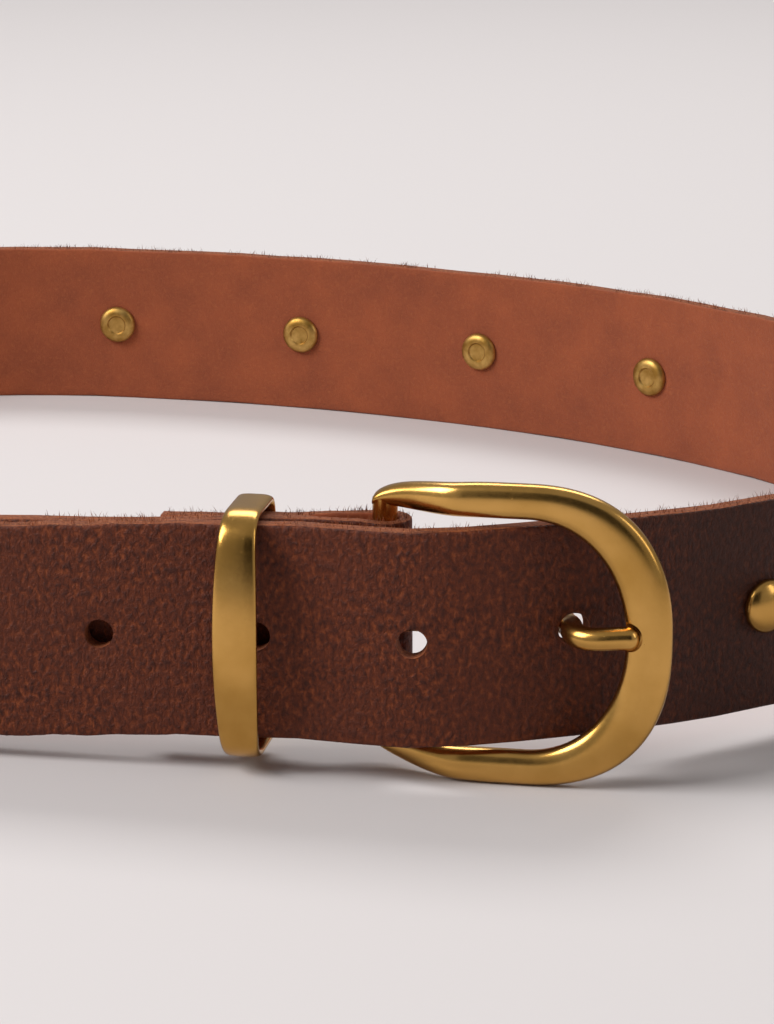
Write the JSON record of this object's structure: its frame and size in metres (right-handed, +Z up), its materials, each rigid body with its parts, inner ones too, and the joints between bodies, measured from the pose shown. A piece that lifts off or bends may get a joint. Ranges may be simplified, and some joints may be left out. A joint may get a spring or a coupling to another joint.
{
  "type": "leather belt",
  "caption": "Wide single-ply leather belt buckled into a standing loop, with a horseshoe heel-bar buckle, prong, metal keeper band and domed studs",
  "frame": {"origin": "on the ground, under the middle of the belt's box as it stands on its edge", "axes": "+Z up; +X along the front stretch towards the buckle's round end; the front faces -Y"},
  "size_m": [0.3184, 0.2598, 0.0487],
  "materials": {
    "leather": "oiled full-grain outside, napped flesh side, raw edges",
    "buckle_brass": "satin antiqued",
    "prong_brass": "satin antiqued",
    "keeper_brass": "satin antiqued",
    "screw_brass": "dull",
    "stud_brass": "satin antiqued",
    "stud_back_brass": "dull"
  },
  "bodies": {
    "strap": {"strap": "leather", "fold_screw_barrel_1": "screw_brass", "fold_screw_barrel_2": "screw_brass", "fold_screw_1": "screw_brass", "fold_screw_2": "screw_brass", "stud_01": "stud_brass", "stud_back_01": "stud_back_brass", "stud_02": "stud_brass", "stud_back_02": "stud_back_brass", "stud_03": "stud_brass", "stud_back_03": "stud_back_brass", "stud_04": "stud_brass", "stud_back_04": "stud_back_brass", "stud_05": "stud_brass", "stud_back_05": "stud_back_brass", "stud_06": "stud_brass", "stud_back_06": "stud_back_brass", "stud_07": "stud_brass", "stud_back_07": "stud_back_brass", "stud_08": "stud_brass", "stud_back_08": "stud_back_brass", "stud_09": "stud_brass", "stud_back_09": "stud_back_brass", "stud_10": "stud_brass", "stud_back_10": "stud_back_brass", "stud_11": "stud_brass", "stud_back_11": "stud_back_brass", "stud_12": "stud_brass", "stud_back_12": "stud_back_brass", "stud_13": "stud_brass", "stud_back_13": "stud_back_brass", "stud_14": "stud_brass", "stud_back_14": "stud_back_brass", "stud_15": "stud_brass", "stud_back_15": "stud_back_brass"},
    "tail": {"strap_tail": "leather"},
    "buckle": {"buckle_frame": "buckle_brass"},
    "prong": {"prong": "prong_brass"},
    "keeper": {"keeper": "keeper_brass"}
  },
  "joints": [
    {"name": "buckle_swing", "type": "hinge", "parent": "strap", "child": "buckle", "pos_m": [0.06064, -0.11682, 0.0244], "axis": [0, 0, 1], "range_deg": [0, 3]},
    {"name": "prong_play", "type": "hinge", "parent": "strap", "child": "prong", "pos_m": [0.06064, -0.11682, 0.0244], "axis": [0, 0, 1], "range_deg": [-0.5, 0.5]},
    {"name": "keeper_slide", "type": "slide", "parent": "strap", "child": "keeper", "axis": [1, 0, 0], "range_m": [-0.0011, 0.0016]},
    {"name": "tail_flex", "type": "hinge", "parent": "strap", "child": "tail", "pos_m": [0.03554, -0.12507, 0.0232], "axis": [0, 0, 1], "range_deg": [0, 18]}
  ]
}
